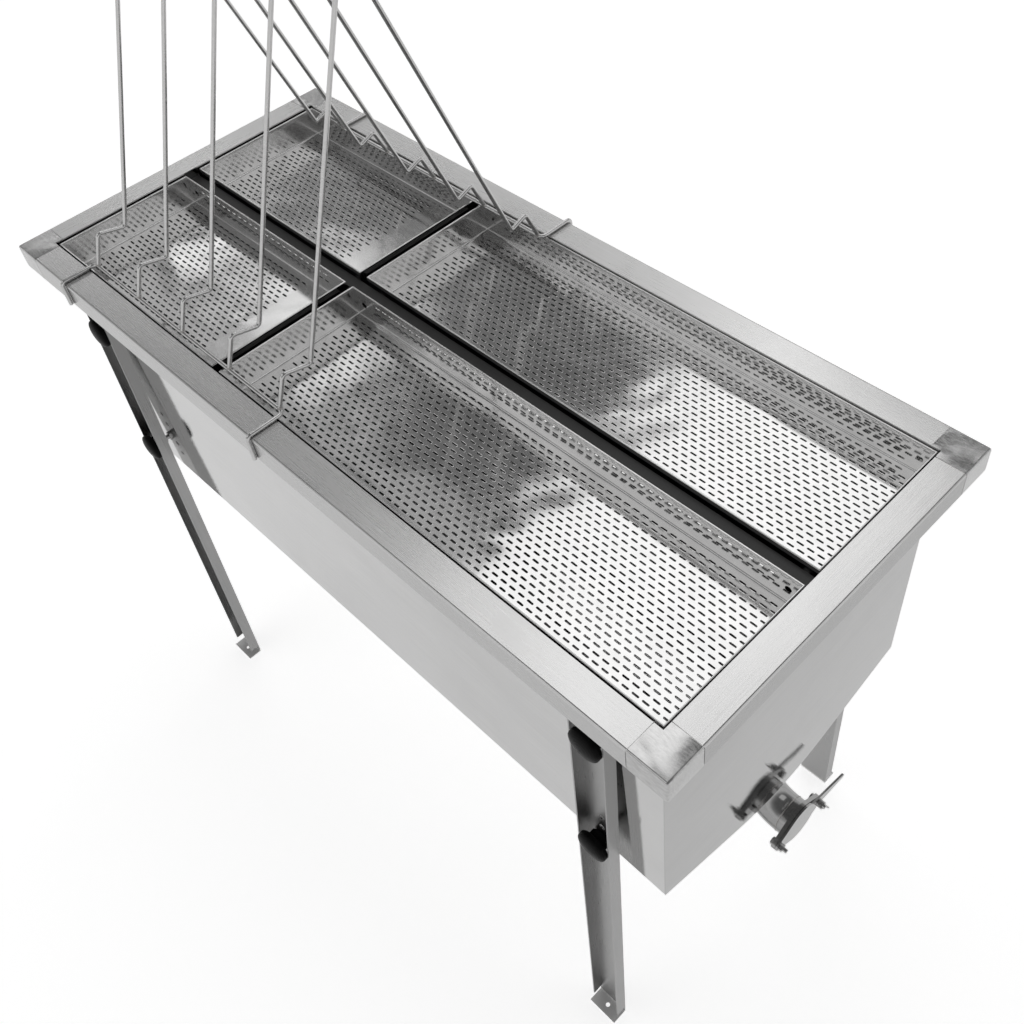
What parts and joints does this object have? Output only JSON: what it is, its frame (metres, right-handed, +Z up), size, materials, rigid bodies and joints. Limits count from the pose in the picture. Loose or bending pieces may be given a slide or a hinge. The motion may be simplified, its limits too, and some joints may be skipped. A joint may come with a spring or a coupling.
{
  "type": "uncapping tank",
  "caption": "Free-standing stainless uncapping tank: sloping-bottom trough on legs, lift-out slotted trays, lift-off wire frame rack and swinging drain gate.",
  "frame": {"origin": "on the floor, at the centre of the four foot holes", "axes": "+X along the tank towards the drain gate, +Y from the side with the open view to the far long side, +Z up"},
  "size_m": [1.2605, 0.5742, 1.3909],
  "materials": {
    "tank_steel": "brushed",
    "rim_steel": "brushed",
    "support_steel": "satin",
    "tray_steel": "polished",
    "wire_steel": "satin",
    "leg_steel": "satin",
    "fastener_steel": "polished",
    "knob_plastic": "satin",
    "gate_steel": "polished",
    "seal_rubber": "matte"
  },
  "bodies": {
    "tank": {"trough": "tank_steel", "end_wall_left": "tank_steel", "end_wall_right": "tank_steel", "rim_rail_near": "rim_steel", "rim_rail_far": "rim_steel", "rim_rail_left": "rim_steel", "rim_rail_right": "rim_steel", "corner_cap_near_left": "rim_steel", "corner_cap_near_right": "rim_steel", "corner_cap_far_left": "rim_steel", "corner_cap_far_right": "rim_steel", "shelf_near": "support_steel", "shelf_far": "support_steel", "shelf_left": "support_steel", "shelf_right": "support_steel", "centre_beam": "support_steel", "cross_beam_near": "support_steel", "cross_beam_far": "support_steel", "leg_near_left": "leg_steel", "leg_near_right": "leg_steel", "leg_far_left": "leg_steel", "leg_far_right": "leg_steel", "leg_studs": "fastener_steel", "lock_nuts": "fastener_steel", "pivot_bolt": "fastener_steel", "pivot_nut": "fastener_steel", "clamp_stud": "fastener_steel", "drain_collar": "gate_steel", "drain_elbow": "gate_steel", "gate_stub": "gate_steel", "gate_flange": "gate_steel", "gate_seal": "seal_rubber"},
    "rack": {"rack_rail_near": "wire_steel", "rack_rail_far": "wire_steel", "rack_arch_1": "wire_steel", "rack_arch_2": "wire_steel", "rack_arch_3": "wire_steel", "rack_arch_4": "wire_steel", "rack_arch_5": "wire_steel"},
    "tray_near_left": {"tray_near_left": "tray_steel", "sieve_near_left": "tray_steel"},
    "tray_near_right": {"tray_near_right": "tray_steel", "sieve_near_right": "tray_steel"},
    "tray_far_left": {"tray_far_left": "tray_steel", "sieve_far_left": "tray_steel"},
    "tray_far_right": {"tray_far_right": "tray_steel", "sieve_far_right": "tray_steel"},
    "gate_leaf": {"gate_leaf": "gate_steel"},
    "wing_nut": {"wing_nut": "fastener_steel"},
    "knob_near_left_upper": {"knob_near_left_upper": "knob_plastic"},
    "knob_near_left_lower": {"knob_near_left_lower": "knob_plastic"},
    "knob_near_right_upper": {"knob_near_right_upper": "knob_plastic"},
    "knob_near_right_lower": {"knob_near_right_lower": "knob_plastic"},
    "knob_far_left_upper": {"knob_far_left_upper": "knob_plastic"},
    "knob_far_left_lower": {"knob_far_left_lower": "knob_plastic"},
    "knob_far_right_upper": {"knob_far_right_upper": "knob_plastic"},
    "knob_far_right_lower": {"knob_far_right_lower": "knob_plastic"}
  },
  "joints": [
    {"name": "rack_lift", "type": "slide", "parent": "tank", "child": "rack", "axis": [0, 0, 1], "range_m": [0, 0.3]},
    {"name": "tray_near_left_lift", "type": "slide", "parent": "tank", "child": "tray_near_left", "axis": [0, 0, 1], "range_m": [0, 0.15]},
    {"name": "tray_near_right_lift", "type": "slide", "parent": "tank", "child": "tray_near_right", "axis": [0, 0, 1], "range_m": [0, 0.15]},
    {"name": "tray_far_left_lift", "type": "slide", "parent": "tank", "child": "tray_far_left", "axis": [0, 0, 1], "range_m": [0, 0.15]},
    {"name": "tray_far_right_lift", "type": "slide", "parent": "tank", "child": "tray_far_right", "axis": [0, 0, 1], "range_m": [0, 0.15]},
    {"name": "gate_swing", "type": "hinge", "parent": "tank", "child": "gate_leaf", "pos_m": [0.6207, -0.0445, 0.4113], "axis": [1, 0, 0], "range_deg": [0, 85]},
    {"name": "wing_nut_turn", "type": "hinge", "parent": "tank", "child": "wing_nut", "pos_m": [0.6262, 0.041, 0.4113], "axis": [1, 0, 0], "continuous": true},
    {"name": "knob_near_left_upper_turn", "type": "hinge", "parent": "tank", "child": "knob_near_left_upper", "pos_m": [-0.497, -0.2519, 0.832], "axis": [0, 1, 0], "continuous": true},
    {"name": "knob_near_left_lower_turn", "type": "hinge", "parent": "tank", "child": "knob_near_left_lower", "pos_m": [-0.497, -0.25866, 0.59], "axis": [0, 1, 0], "continuous": true},
    {"name": "knob_near_right_upper_turn", "type": "hinge", "parent": "tank", "child": "knob_near_right_upper", "pos_m": [0.497, -0.2519, 0.832], "axis": [0, 1, 0], "continuous": true},
    {"name": "knob_near_right_lower_turn", "type": "hinge", "parent": "tank", "child": "knob_near_right_lower", "pos_m": [0.497, -0.25866, 0.59], "axis": [0, 1, 0], "continuous": true},
    {"name": "knob_far_left_upper_turn", "type": "hinge", "parent": "tank", "child": "knob_far_left_upper", "pos_m": [-0.497, 0.2519, 0.832], "axis": [0, 1, 0], "continuous": true},
    {"name": "knob_far_left_lower_turn", "type": "hinge", "parent": "tank", "child": "knob_far_left_lower", "pos_m": [-0.497, 0.25866, 0.59], "axis": [0, 1, 0], "continuous": true},
    {"name": "knob_far_right_upper_turn", "type": "hinge", "parent": "tank", "child": "knob_far_right_upper", "pos_m": [0.497, 0.2519, 0.832], "axis": [0, 1, 0], "continuous": true},
    {"name": "knob_far_right_lower_turn", "type": "hinge", "parent": "tank", "child": "knob_far_right_lower", "pos_m": [0.497, 0.25866, 0.59], "axis": [0, 1, 0], "continuous": true}
  ],
  "couplings": [
    {"joint": "tray_near_left_lift", "follows": "rack_lift", "ratio": 0.5},
    {"joint": "tray_near_right_lift", "follows": "rack_lift", "ratio": 0.5},
    {"joint": "tray_far_left_lift", "follows": "rack_lift", "ratio": 0.5},
    {"joint": "tray_far_right_lift", "follows": "rack_lift", "ratio": 0.5}
  ]
}
